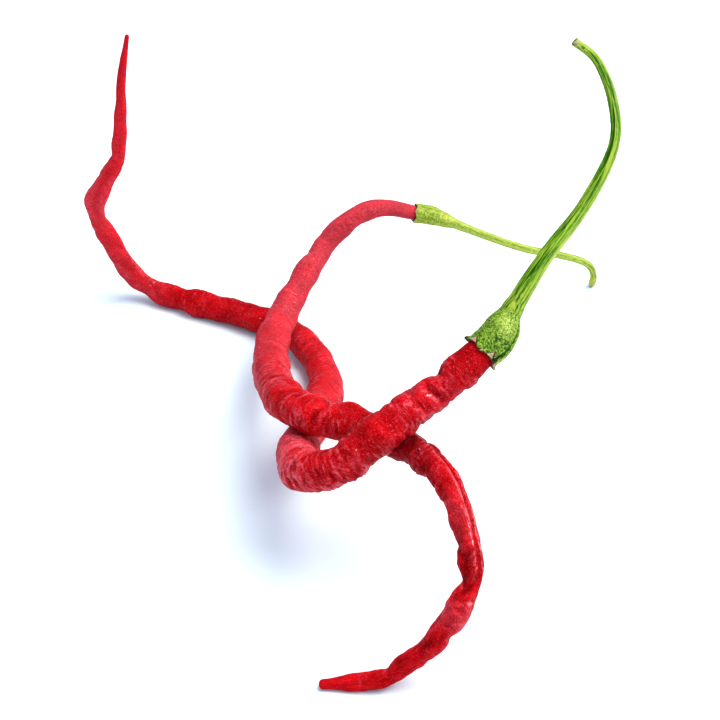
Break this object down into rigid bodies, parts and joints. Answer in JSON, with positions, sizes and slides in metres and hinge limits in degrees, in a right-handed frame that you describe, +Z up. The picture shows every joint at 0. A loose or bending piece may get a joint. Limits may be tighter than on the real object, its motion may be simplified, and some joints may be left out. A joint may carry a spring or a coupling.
{
  "type": "pair of curly red chillies",
  "caption": "Long, thin, curly red chillies with green stalks and calyxes, hooked round each other and lying on a flat surface.",
  "frame": {"origin": "middle of the bounding box's bottom face, on the surface that the chillies lie on", "axes": "+Z up from that surface, +Y away from the viewer towards the lifted thin end, +X to the right, the side of both stalks"},
  "size_m": [0.1232, 0.1261, 0.0916],
  "materials": {
    "pod_skin": "waxy, finely wrinkled red skin with a soft sheen",
    "near_stalk_green": "ribbed fresh green with yellow-green ridges",
    "far_stalk_green": "smooth pale yellow-green"
  },
  "bodies": {
    "root": {"near_pod": "pod_skin", "far_pod": "pod_skin", "near_stalk": "near_stalk_green", "far_stalk": "far_stalk_green"}
  },
  "joints": []
}
